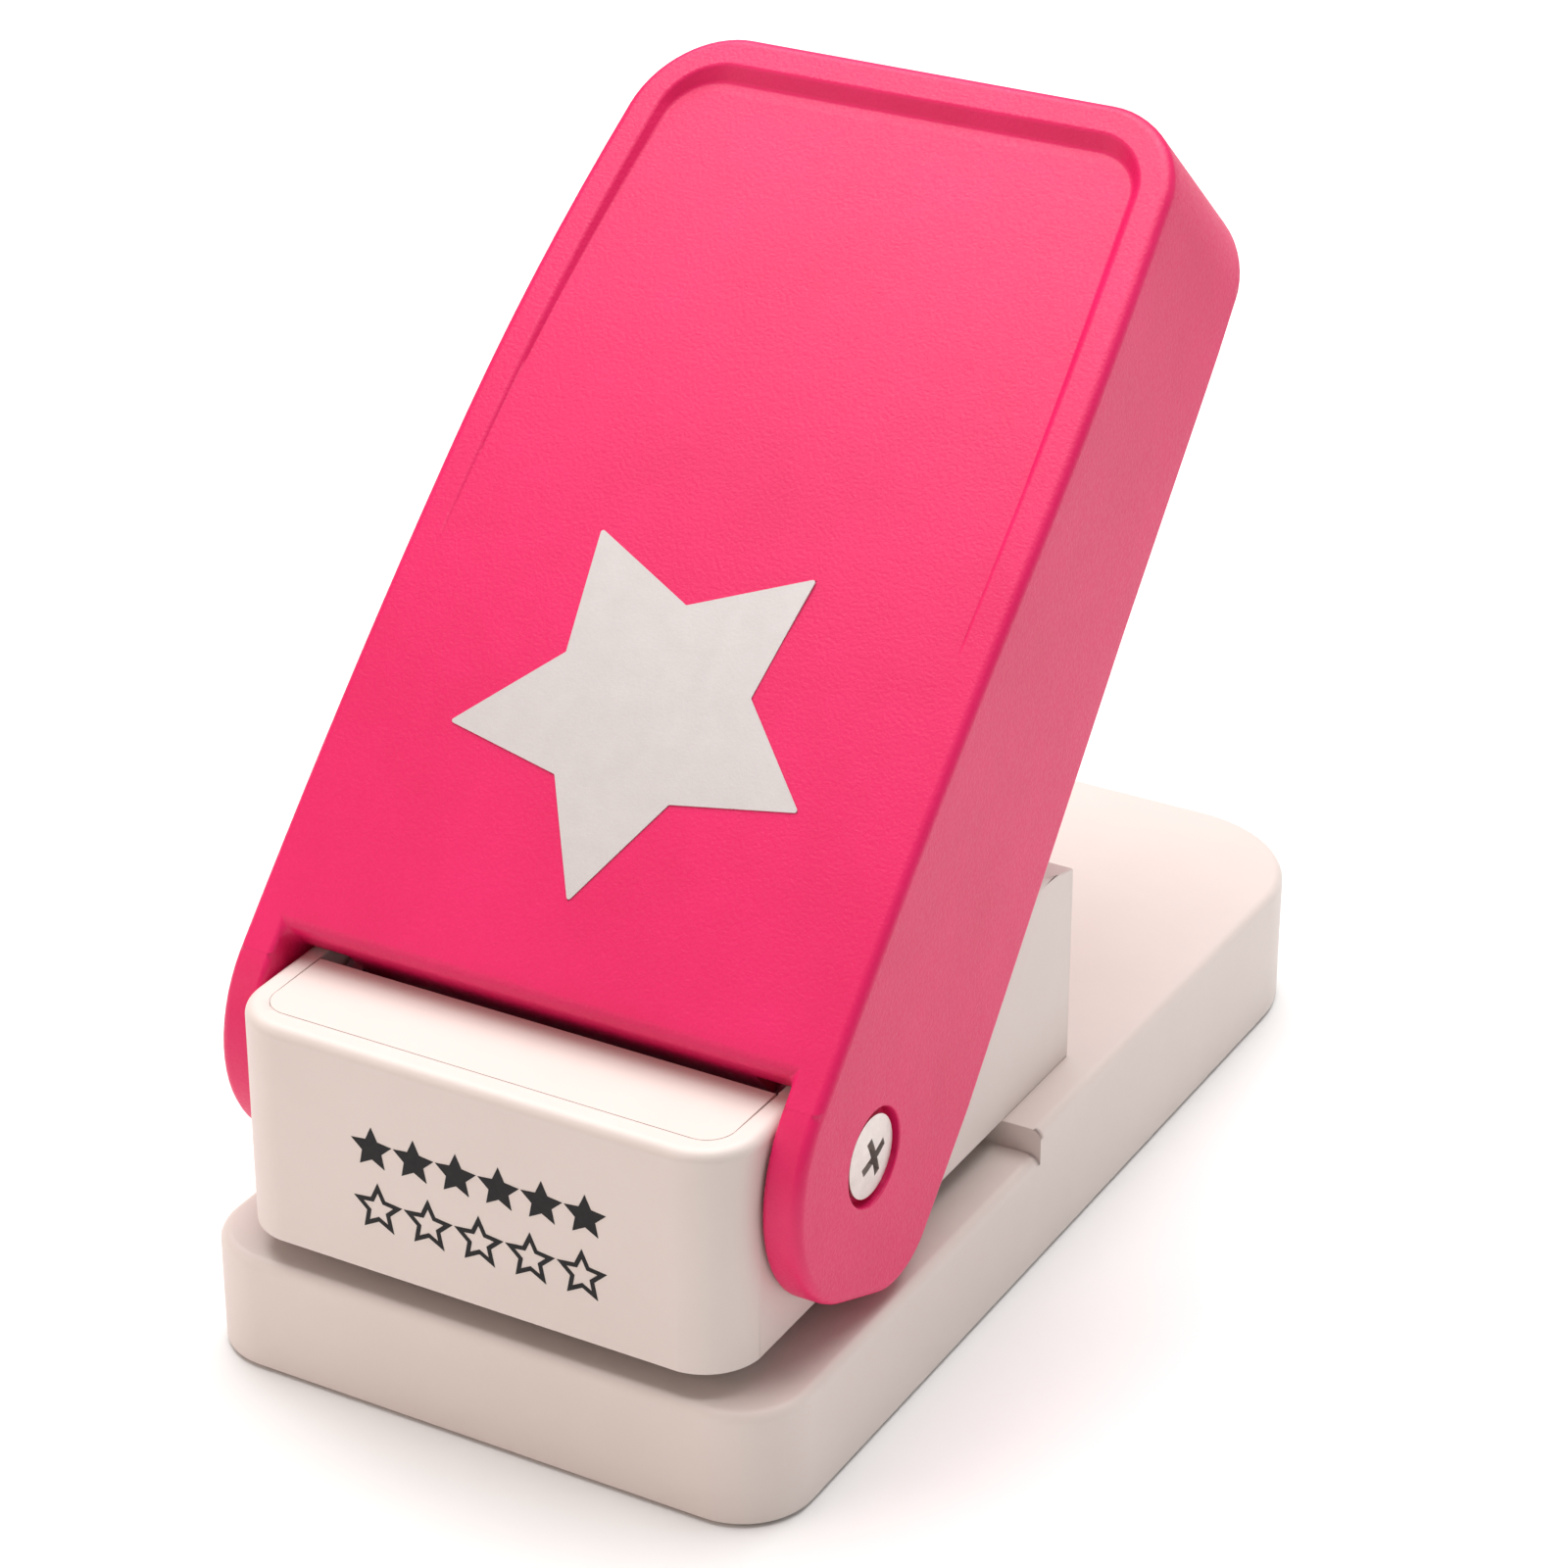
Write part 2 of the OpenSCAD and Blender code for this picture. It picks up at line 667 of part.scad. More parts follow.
module return_spring_front_left() { return_spring(-pin_at[0], pin_at[1]); }
module return_spring_front_right() { return_spring(pin_at[0], pin_at[1]); }
module return_spring_rear_left() { return_spring(-pin_at[0], pin_at[2]); }
module return_spring_rear_right() { return_spring(pin_at[0], pin_at[2]); }

base_shell();
bottom_cover();
rubber_feet();
cover_screws();
die_plate();
throat_spacer();
guide_frame();
frame_screws();
housing_shell();
housing_top_cap();
housing_screws();
guide_pins();
pivot_bush_left();
pivot_bush_right();
lever_shell();
lever_star_inlay();
pivot_shaft();
pivot_screws();
press_cam();
cam_screws();
star_punch();
punch_carrier();
wear_plate();
punch_screws();
return_spring_front_left();
return_spring_front_right();
return_spring_rear_left();
return_spring_rear_right();
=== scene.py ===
# %% [markdown]
# # A lever paper punch with a star die
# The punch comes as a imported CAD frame: a cream base and housing, a pink lever on a cross
# pivot, and a steel punch, die, guide and springs inside. The frame has every size and joint
# already. This lesson gives each piece the surface, the soft edges and the small parts that
# the real punch has, and leaves every dimension as it is.

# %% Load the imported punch
import json
import math

import bmesh
import bpy
from mathutils import Matrix, Vector

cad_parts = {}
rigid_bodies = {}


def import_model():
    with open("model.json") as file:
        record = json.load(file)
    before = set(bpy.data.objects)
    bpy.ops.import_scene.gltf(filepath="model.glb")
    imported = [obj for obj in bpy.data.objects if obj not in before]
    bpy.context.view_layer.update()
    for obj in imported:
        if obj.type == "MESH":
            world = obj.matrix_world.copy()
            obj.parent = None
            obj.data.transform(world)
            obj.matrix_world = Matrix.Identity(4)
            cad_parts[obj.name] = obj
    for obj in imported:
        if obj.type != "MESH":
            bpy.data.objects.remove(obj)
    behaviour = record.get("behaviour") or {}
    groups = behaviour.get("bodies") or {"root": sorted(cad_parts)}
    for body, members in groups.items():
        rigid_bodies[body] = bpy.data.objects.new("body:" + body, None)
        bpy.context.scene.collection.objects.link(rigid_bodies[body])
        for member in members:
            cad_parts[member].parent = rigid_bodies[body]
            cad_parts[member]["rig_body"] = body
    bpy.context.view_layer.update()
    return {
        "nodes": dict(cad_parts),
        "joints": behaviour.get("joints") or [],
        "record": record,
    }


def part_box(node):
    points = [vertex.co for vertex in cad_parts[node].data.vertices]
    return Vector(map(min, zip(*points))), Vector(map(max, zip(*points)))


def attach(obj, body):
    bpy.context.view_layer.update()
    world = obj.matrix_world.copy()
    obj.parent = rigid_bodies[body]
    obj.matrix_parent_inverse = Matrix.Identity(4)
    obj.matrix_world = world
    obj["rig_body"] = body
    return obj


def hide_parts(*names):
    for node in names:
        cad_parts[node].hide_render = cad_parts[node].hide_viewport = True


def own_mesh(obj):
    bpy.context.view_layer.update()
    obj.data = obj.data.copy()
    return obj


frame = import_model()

MM = 0.001
nodes = frame["nodes"]

# %% [markdown]
# ## The camera
# A product picture of a small object is taken from about half a metre with a long lens, so
# that its edges stay nearly parallel. The camera stands to the right of the front and looks
# down on the punch. It is made first, because every later choice is judged through it.

# %% Camera
CAMERA_AT = Vector((203.5, -361.7, 259.7)) * MM
CAMERA_TURN = 29.56
CAMERA_DIP = 27.56
LENS_MM = 104.5

camera_data = bpy.data.cameras.new("product_camera")
camera_data.lens = LENS_MM
camera_data.sensor_width = 36
camera = bpy.data.objects.new("product_camera", camera_data)
camera.location = CAMERA_AT
camera.rotation_euler = (math.radians(90 - CAMERA_DIP), 0, math.radians(CAMERA_TURN))
scene = bpy.context.scene
scene.collection.objects.link(camera)
scene.camera = camera
scene.view_settings.view_transform = "Standard"
print(f"camera {CAMERA_AT.length:.2f} m from the middle of the base")

# %% [markdown]
# ## Floor and light
# The punch stands on a white sweep under a large overhead softbox. The softbox leans back a
# little, so that it is mirrored in the far end of the lever's arched top and not in the near
# end: that is what makes the pink pale towards the top. A warm box at the left lights the
# front, a weak cool one behind on the right lifts the lever's side, and the world adds an
# even fill. The floor throws light back up on the walls.

# %% Floor, softboxes and world
def add_object(name, mesh):
    obj = bpy.data.objects.new(name, mesh)
    scene.collection.objects.link(obj)
    return obj


def to_mesh(name, bm):
    mesh = bpy.data.meshes.new(name)
    bm.to_mesh(mesh)
    bm.free()
    return mesh


FLOOR_HALF = 2.5
bm = bmesh.new()
bmesh.ops.create_grid(bm, x_segments=1, y_segments=1, size=FLOOR_HALF)
floor = add_object("floor", to_mesh("floor", bm))


def softbox(name, at, target, size, power, colour=(1, 1, 1)):
    data = bpy.data.lights.new(name, "AREA")
    data.shape = "RECTANGLE"
    data.size, data.size_y = size
    data.energy = power
    data.color = colour
    lamp = bpy.data.objects.new(name, data)
    lamp.location = at
    aim = Vector(target) - Vector(at)
    lamp.rotation_euler = aim.to_track_quat("-Z", "Y").to_euler()
    scene.collection.objects.link(lamp)


softbox("overhead_softbox", (-0.12, 0.22, 1.0), (0, 0, 0.05), (1.2, 1.0), 17.0)
softbox("left_front_softbox", (-0.7, -0.9, 0.45), (0, 0, 0.05), (0.7, 0.7), 3.3, (1, 0.70, 0.62))
softbox("right_rear_softbox", (0.5, 0.42, 0.28), (0.02, 0.03, 0.06), (0.5, 0.5), 0.35, (0.88, 0.82, 1))

world = bpy.data.worlds.new("white_studio")
world.use_nodes = True
world.node_tree.nodes["Background"].inputs["Color"].default_value = (1, 0.96, 0.93, 1)
world.node_tree.nodes["Background"].inputs["Strength"].default_value = 0.33
scene.world = world
print("three softboxes and a warm white world")

# %% [markdown]
# ## Finishes
# A moulded plastic surface is never one flat colour. The mould is spark eroded, which leaves
# a fine grain of about a third of a millimetre, and the pigment flows in faint clouds. A
# machined or pressed steel part has lines along the cut instead. One helper makes all of
# these: slow noise for the colour, fine noise for the bump and the gloss, and a stretch that
# turns grain into brush lines. All of it reads Object coordinates, which are metres here.

# %% One helper for every finish
def finish(name, colour, second, cloud, grain, depth, rough, stretch=(1, 1, 1),
           metallic=0.0, specular=0.5):
    """A procedural finish. cloud and grain are features per metre, depth is in mm."""
    made = bpy.data.materials.new(name)
    made.use_nodes = True
    tree = made.node_tree
    shader = tree.nodes["Principled BSDF"]

    def node(kind, **values):
        new = tree.nodes.new(kind)
        for key, value in values.items():
            new.inputs[key].default_value = value
        return new

    coords = node("ShaderNodeTexCoord")
    mapping = node("ShaderNodeMapping", Scale=stretch)
    clouds = node("ShaderNodeTexNoise", Scale=cloud, Detail=7.0, Roughness=0.7)
    grains = node("ShaderNodeTexNoise", Scale=grain, Detail=2.5, Roughness=0.6)
    spread = node("ShaderNodeMapRange", **{"From Min": 0.3, "From Max": 0.7})
    gloss = node("ShaderNodeMapRange", **{"From Min": 0.3, "From Max": 0.7,
                                          "To Min": rough[0], "To Max": rough[1]})
    bump = node("ShaderNodeBump", Strength=1.0, Distance=depth * MM)
    mix = tree.nodes.new("ShaderNodeMix")
    mix.data_type = "RGBA"
    mix.inputs[6].default_value = (*colour, 1)
    mix.inputs[7].default_value = (*second, 1)
    link = tree.links.new
    link(coords.outputs["Object"], mapping.inputs["Vector"])
    link(mapping.outputs["Vector"], clouds.inputs["Vector"])
    link(mapping.outputs["Vector"], grains.inputs["Vector"])
    link(clouds.outputs["Fac"], spread.inputs["Value"])
    link(spread.outputs["Result"], mix.inputs["Factor"])
    link(mix.outputs[2], shader.inputs["Base Color"])
    link(grains.outputs["Fac"], gloss.inputs["Value"])
    link(gloss.outputs["Result"], shader.inputs["Roughness"])
    link(grains.outputs["Fac"], bump.inputs["Height"])
    link(bump.outputs["Normal"], shader.inputs["Normal"])
    shader.inputs["Metallic"].default_value = metallic
    shader.inputs["Specular IOR Level"].default_value = specular
    return made


print("one helper makes every finish")

# %% [markdown]
# Each finish gives its colour, a second colour for the clouds, clouds and grains per metre,
# the depth of the grain in millimetres and the range of its roughness. The names are those
# of the frame's material slots, so every node can be given its finish by name.

# %% The finishes of the punch, its ink and the floor
finishes = {
    "cream_plastic": finish("cream_plastic", (0.73, 0.650, 0.605), (0.70, 0.620, 0.575), 45,
                            2600, 0.006, (0.42, 0.5)),
    "pink_plastic": finish("pink_plastic", (0.77, 0.009, 0.126), (0.70, 0.005, 0.102), 60,
                           2800, 0.045, (0.36, 0.5), specular=0.42),
    "silver_inlay": finish("silver_inlay", (0.60, 0.57, 0.56), (0.56, 0.53, 0.52), 300,
                           3400, 0.012, (0.45, 0.62), metallic=0.35),
    "satin_nickel": finish("satin_nickel", (0.72, 0.66, 0.63), (0.62, 0.56, 0.53), 500,
                           2500, 0.004, (0.28, 0.4), metallic=0.9),
    "tool_steel": finish("tool_steel", (0.50, 0.51, 0.53), (0.40, 0.41, 0.43), 120,
                         900, 0.004, (0.22, 0.34), stretch=(1, 9, 9), metallic=1.0),
    "pressed_steel": finish("pressed_steel", (0.55, 0.56, 0.57), (0.44, 0.45, 0.46), 90,
                            1200, 0.006, (0.32, 0.46), stretch=(1, 5, 5), metallic=1.0),
    "ground_steel": finish("ground_steel", (0.60, 0.60, 0.61), (0.50, 0.50, 0.52), 150,
                           1500, 0.003, (0.16, 0.26), stretch=(1, 1, 12), metallic=1.0),
    "screw_steel": finish("screw_steel", (0.46, 0.46, 0.47), (0.34, 0.34, 0.35), 400,
                          2200, 0.004, (0.28, 0.42), metallic=1.0),
    "spring_steel": finish("spring_steel", (0.42, 0.42, 0.43), (0.30, 0.30, 0.31), 500,
                           3000, 0.003, (0.25, 0.38), metallic=1.0),
    "carrier_alloy": finish("carrier_alloy", (0.30, 0.31, 0.32), (0.22, 0.23, 0.24), 220,
                            1300, 0.03, (0.45, 0.62), metallic=0.85),
    "cam_acetal": finish("cam_acetal", (0.80, 0.79, 0.75), (0.74, 0.73, 0.69), 80,
                         2400, 0.006, (0.3, 0.38)),
    "bush_nylon": finish("bush_nylon", (0.05, 0.05, 0.055), (0.035, 0.035, 0.04), 120,
                         2400, 0.008, (0.4, 0.5)),
    "foot_rubber": finish("foot_rubber", (0.16, 0.16, 0.165), (0.11, 0.11, 0.115), 200,
                          2600, 0.03, (0.75, 0.9)),
}
print_ink = finish("print_ink", (0.006, 0.005, 0.006), (0.014, 0.012, 0.013), 900,
                   4200, 0.004, (0.38, 0.5), specular=0.2)
floor.data.materials.append(finish("white_sweep", (0.93, 0.93, 0.925), (0.915, 0.915, 0.91), 3,
                                   600, 0.01, (0.85, 0.95)))
slot_of = {row["node"]: row["material_slot"] for row in frame["record"]["subparts"]}
for name, node in nodes.items():
    node.data.materials.clear()
    node.data.materials.append(finishes[slot_of[name]])
print(f"{len(finishes)} finishes for {len(slot_of)} nodes")

# %% [markdown]
# ## The lever's own frame
# The lever is drawn as it lies in the hand: `a` runs from the pivot to the far end, `b`
# stands square on its top, and `x` stays the width. The hinge's place comes from the frame.
# At rest the lever slopes up by 43 degrees.

# %% Lever coordinates
REST_SLOPE = math.radians(43)
hinge = next(joint for joint in frame["joints"] if joint["name"] == "lever_hinge")
PIVOT = Vector(hinge["pos_m"])
lever_frame = Matrix.Translation(PIVOT) @ Matrix.Rotation(REST_SLOPE, 4, "X")
from_lever = lever_frame.inverted()

ARCH_RADIUS = 600 * MM
ARCH_MIDDLE = 37 * MM
TOP_RISE = 15.7 * MM
LEVER_LENGTH = 105.6 * MM


def arch(a):
    """Height of the lever's arched top over the pivot, at a along it."""
    return TOP_RISE - (a - ARCH_MIDDLE) ** 2 / (2 * ARCH_RADIUS)


lever_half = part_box("lever_shell")[1].x
print(f"lever {2 * lever_half / MM:.1f} mm wide, pivot at {tuple(round(v / MM, 1) for v in PIVOT)}")

# %% [markdown]
# ## Moulded pieces with soft edges
# The CAD nodes are exact but their edges are knife sharp, and no mould makes such an edge. A
# good way to soften them is to take a copy of the node, merge its loose triangles into whole
# faces, and bevel only chosen edges, each by its own amount. A rule gives each edge its
# radius from where it is.

# %% Helpers that merge, cut and mark a copy of a node
SHARP = math.radians(28)
FLAT = math.radians(0.4)
NEAR = 0.06 * MM
SAME_POINT = 0.002 * MM


def merged(node_name):
    """A copy of a CAD node with its triangles merged into whole flat faces."""
    bm = bmesh.new()
    bm.from_mesh(nodes[node_name].data)
    bmesh.ops.remove_doubles(bm, verts=bm.verts, dist=SAME_POINT)
    bmesh.ops.dissolve_limit(bm, angle_limit=FLAT, verts=bm.verts, edges=bm.edges)
    return bm


def cut(bm, axis, *places, beyond=-1.0):
    """Cuts a mesh straight across at each place along an axis, only where y is beyond a limit.

    The limit of one metre in front of the punch leaves nothing out.
    """
    normal = [0, 0, 0]
    normal[axis] = 1
    for place in places:
        on_plane = [0, 0, 0]
        on_plane[axis] = place
        faces = [face for face in bm.faces if all(v.co.y > beyond for v in face.verts)]
        edges = {edge for face in faces for edge in face.edges}
        verts = {vert for face in faces for vert in face.verts}
        bmesh.ops.bisect_plane(bm, geom=[*verts, *edges, *faces], dist=0.001 * MM,
                               plane_co=on_plane, plane_no=normal)


def mark_radii(bm, radius_of):
    """Gives each sharp edge the share of the largest radius that its rule says."""
    weight = bm.edges.layers.float.new("bevel_weight_edge")
    sharp = [edge for edge in bm.edges
             if len(edge.link_faces) == 2 and edge.calc_face_angle() > SHARP]
    radii = [radius_of(edge) for edge in sharp]
    for edge, radius in zip(sharp, radii):
        edge[weight] = radius / max(radii)
    return max(radii)


print(f"an edge is sharp when it turns by more than {math.degrees(SHARP):.0f} degrees")

# %% [markdown]
# The marked edges are then rounded by a bevel modifier, which is applied. Face-weighted
# normals keep flat faces flat while the round edges shade smoothly. Last, the piece gets its
# material, is tied to its body and takes the place of its CAD node.

# %% Helpers that round, shade and dress the copy
def applied(obj):
    """Turns what the modifiers show into the object's own mesh."""
    graph = bpy.context.evaluated_depsgraph_get()
    mesh = bpy.data.meshes.new_from_object(obj.evaluated_get(graph))
    obj.modifiers.clear()
    obj.data = mesh
    return obj


def smooth(obj, angle=40):
    """Shades round edges smoothly and keeps flat faces flat."""
    obj.data.polygons.foreach_set("use_smooth", [True] * len(obj.data.polygons))
    obj.data.set_sharp_from_angle(angle=math.radians(angle))
    obj.modifiers.new("normals", "WEIGHTED_NORMAL").keep_sharp = True
    return applied(obj)


def softened(name, bm, largest, segments=4):
    """Applies the marked radii and returns the finished object."""
    obj = add_object(name, to_mesh(name, bm))
    bevel = obj.modifiers.new("edges", "BEVEL")
    bevel.limit_method = "WEIGHT"
    bevel.width = largest
    bevel.segments = segments
    bevel.use_clamp_overlap = False
    bevel.loop_slide = False
    return smooth(applied(obj))


def dress(obj, *stands_for, body=None, made_of=None):
    """Gives a finished piece its material, its body and the nodes that it stands for."""
    slot = made_of or slot_of[stands_for[0]]
    obj.data.materials.clear()
    obj.data.materials.append(finishes[slot])
    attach(obj, body or nodes[stands_for[0]]["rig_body"])
    if stands_for:
        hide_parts(*stands_for)
    print(f"{obj.name}: {len(obj.data.polygons)} faces of {slot}")
    return obj


print("a dressed piece hides the CAD node that it stands for")

# %% [markdown]
# ## The lever
# The lever is one pink moulding: an arched top, side walls that end in two round ears, and a
# shallow recess that fades out towards the pivot. The recess's walls slope, which leaves its
# floor a little smaller than its opening. The vertices at the floor's edge move inwards by
# their own depth, and by a third more at the far end. So the slope of a wall stays the same
# as the recess fades.

# %% Draw in the recess floor
RIM = 3.6 * MM
CORNER = 10 * MM
RECESS_START = 44 * MM
TOP_SKIN = 0.04 * MM
DEEPEST_FLOOR = 1.6 * MM
FAR_WALL_SLOPE = 1.35

lever_bm = merged("lever_shell")
bmesh.ops.transform(lever_bm, matrix=from_lever, verts=lever_bm.verts)
drawn_in = 0
for vert in lever_bm.verts:
    x, a, b = vert.co
    depth = arch(a) - b
    if a < RECESS_START or not TOP_SKIN < depth < DEEPEST_FLOOR:
        continue
    from_corner = Vector((abs(x) - (lever_half - CORNER), a - (LEVER_LENGTH - CORNER)))
    out = Vector((max(0.0, from_corner.x), max(0.0, from_corner.y))).normalized()
    vert.co.x -= math.copysign(out.x * depth, x)
    vert.co.y -= out.y * depth * FAR_WALL_SLOPE
    drawn_in += 1
print(f"{drawn_in} vertices of the recess floor drawn in, so that its walls slope")

# %% [markdown]
# The mould draws the lever towards its open side, so its walls lean in a little at the far
# end. The lean moves vertices, and a flat wall has them only at its corners. So the walls are
# cut across every few millimetres first, along the lever and up its sides. The ears stay
# uncut, because a cut through their curved edge would leave slivers.

# %% Cut the walls across
LEAN_FROM = 55 * MM
LEAN_OVER = 35 * MM
LEAN_THERE = 1.4 * MM
LEAN_BOTTOM = -8 * MM
LEAN_HEIGHT = 21 * MM
BEYOND_EARS = 24 * MM


def lean(a, b):
    """How far the side wall leans in, at a along the lever and b over the pivot."""
    along = max(0.0, a - LEAN_FROM) / LEAN_OVER
    up = min(1.0, max(0.0, (b - LEAN_BOTTOM) / LEAN_HEIGHT))
    return LEAN_THERE * along * along * up


cuts_along = [a * MM for a in range(45, 95, 5)]
cuts_up = [b * MM for b in range(-6, 11, 4)]
cut(lever_bm, 1, *cuts_along)
cut(lever_bm, 2, *cuts_up, beyond=BEYOND_EARS)
print(f"the lever has {len(lever_bm.verts)} vertices before its edges are softened")

# %% [markdown]
# Each edge gets its radius from where it lies. The outer edges get about a millimetre, the
# corners of the lever's mouth a little more, and inner edges less. Two radii fade: that of
# the lower outer edges towards the far end, and that of the recess floor as the recess gets
# shallow, because a bevel wider than its face would fold over itself. The walls lean only
# after the rules have run, because the rules know the edges by the straight walls.

# %% Choose the radius of each edge, then lean the walls in
EAR_INNER = lever_half - 4 * MM
MOUTH_A = 2 * MM
RECESS_DEPTH = 1.7 * MM
OUTER_RADIUS = 1.1 * MM
FADED_RADIUS = 0.1 * MM
FADE_FROM = 58 * MM
FADE_OVER = 30 * MM
LOWER_EDGE = 4 * MM
SCREW_SEAT = 6 * MM
SCREW_SEAT_RADIUS = 0.2 * MM
MOUTH_CORNER_RADIUS = 1.3 * MM
MOUTH_RADIUS = 0.5 * MM
EAR_REACH = 14 * MM
EAR_RADIUS = 0.6 * MM
RECESS_RADIUS = 0.3 * MM
FLOOR_FADES_AT = 0.35 * MM
FLOOR_FULL_AT = 1.0 * MM


def lever_radius(edge):
    """The radius of an edge of the lever, from the place of its two ends."""
    ends = [vert.co for vert in edge.verts]
    middle = (ends[0] + ends[1]) / 2
    depths = [arch(co.y) - co.z for co in ends]
    from_pivot = math.hypot(middle.y, middle.z)
    outer = all(abs(co.x) > lever_half - NEAR for co in ends)
    on_top = all(abs(depth) < NEAR for depth in depths)
    at_far = middle.y > LEVER_LENGTH - CORNER - NEAR
    in_ear = all(abs(abs(co.x) - EAR_INNER) < NEAR for co in ends)
    at_mouth = all(abs(co.y - MOUTH_A) < NEAR for co in ends)
    in_recess = (abs(middle.x) < lever_half - RIM + NEAR
                 and middle.y < LEVER_LENGTH - RIM + NEAR)
    if outer and middle.z < LOWER_EDGE and middle.y > FADE_FROM:
        faded = min(1.0, (middle.y - FADE_FROM) / FADE_OVER)
        return OUTER_RADIUS + faded * (FADED_RADIUS - OUTER_RADIUS)
    if at_far and middle.z < LOWER_EDGE:
        return 0.0
    if outer and from_pivot < SCREW_SEAT:
        return SCREW_SEAT_RADIUS
    if outer or (on_top and at_far and not in_recess):
        return OUTER_RADIUS
    if at_mouth and in_ear:
        return MOUTH_CORNER_RADIUS
    if at_mouth and on_top:
        return MOUTH_RADIUS
    if in_ear and middle.y < EAR_REACH and from_pivot > SCREW_SEAT:
        return EAR_RADIUS
    if on_top and middle.y > RECESS_START and in_recess:
        return RECESS_RADIUS
    if in_recess and min(depths) > FLOOR_FADES_AT and max(depths) < RECESS_DEPTH:
        full = (min(depths) - FLOOR_FADES_AT) / (FLOOR_FULL_AT - FLOOR_FADES_AT)
        return RECESS_RADIUS * min(1.0, full)
    return 0.0


largest = mark_radii(lever_bm, lever_radius)
for vert in lever_bm.verts:
    share = vert.co.x / lever_half
    vert.co.x -= lean(vert.co.y, vert.co.z) * share
bmesh.ops.transform(lever_bm, matrix=lever_frame, verts=lever_bm.verts)
lever = softened("lever", lever_bm, largest)
print(f"the largest radius is {largest / MM:.1f} mm")

# %% [markdown]
# The arched top is cut into flat strips, and a wide highlight shows the step from strip to
# strip. The arch is a known curve, so each corner of each face along it can have the exact
# direction that the real surface has there. Nothing moves, only the shading changes.

# %% Give the arched top its exact normals
ALONG_ARCH = math.cos(math.radians(3))
turn_up = lever_frame.to_3x3()


def arch_normal(a):
    """The direction that the arched top faces, at a along the lever."""
    return turn_up @ Vector((0, (a - ARCH_MIDDLE) / ARCH_RADIUS, 1)).normalized()


mesh = lever.data
local = [from_lever @ vert.co for vert in mesh.vertices]
near_top = [-NEAR < arch(co.y) - co.z < RECESS_DEPTH and co.y > MOUTH_A for co in local]
loop_normals = [Vector(corner.vector) for corner in mesh.corner_normals]
top_faces = 0
for face in mesh.polygons:
    middle_a = (from_lever @ face.center).y
    if not all(near_top[index] for index in face.vertices):
        continue
    if face.normal.dot(arch_normal(middle_a)) < ALONG_ARCH:
        continue
    top_faces += 1
    for loop in face.loop_indices:
        loop_normals[loop] = arch_normal(local[mesh.loops[loop].vertex_index].y)
mesh.normals_split_custom_set(loop_normals)
print(f"{top_faces} faces of the arched top shade as one smooth curve")
dress(lever, "lever_shell")

# %% [markdown]
# ## Base and housing
# The base and housing are cream mouldings whose top edges are rounded already, in facets
# eight degrees apart. They only need smooth shading there. Shading is blended along a face
# from corner to corner, so a long thin facet would carry the look of its one end to its
# other. Cuts close to where the shape changes keep that within a millimetre: at the throat,
# where the slot ends, where the housing gets wide, and where its rear slope starts. Edges
# that are sharp in CAD, such as those of the slot, get a radius of about a fifth of a
# millimetre, and the thin cap less. Very short edges stay as they are.

# %% Base, housing, cap and bottom plate
SHORTEST_EDGE = 0.8 * MM
SLOT_DEPTH = 54.8 * MM
WIDE_FROM = 38.9 * MM
REAR_SLOPE = 7.5 * MM
BESIDE = 0.9 * MM

house_low, house_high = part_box("housing_shell")
throat_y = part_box("base_shell")[0].y + SLOT_DEPTH
wide_y = house_low.y + WIDE_FROM
slope_y = house_high.y - REAR_SLOPE


def any_long_edge(radius):
    """The same radius for every sharp edge that is long enough to take it."""
    return lambda edge: radius if edge.calc_length() > SHORTEST_EDGE else 0.0


base_cuts = [-40 * MM, throat_y - BESIDE, throat_y + BESIDE, 15 * MM, 40 * MM]
housing_cuts = [wide_y - BESIDE, wide_y + BESIDE, slope_y - BESIDE, slope_y + BESIDE]
for piece, node_name, radius, cuts in (
        ("base", "base_shell", 0.2 * MM, base_cuts),
        ("housing", "housing_shell", 0.25 * MM, housing_cuts),
        ("top_cap", "housing_top_cap", 0.07 * MM, []),
        ("bottom_plate", "bottom_cover", 0.25 * MM, [])):
    piece_bm = merged(node_name)
    cut(piece_bm, 1, *cuts)
    largest = mark_radii(piece_bm, any_long_edge(radius))
    dress(softened(piece, piece_bm, largest, 3), node_name)

# %% [markdown]
# ## Geometry Nodes for what repeats
# Screws, springs, ribs and printed stars are the same shape many times over, so each kind is
# one Geometry Nodes tree with named inputs for its sizes. A small builder keeps the trees
# readable: it adds a node, links or sets its sockets, and hands the node back. The result is
# turned into a plain mesh before it is dressed. In the cells below, `t` is the tree at hand
# and `given` holds its inputs.

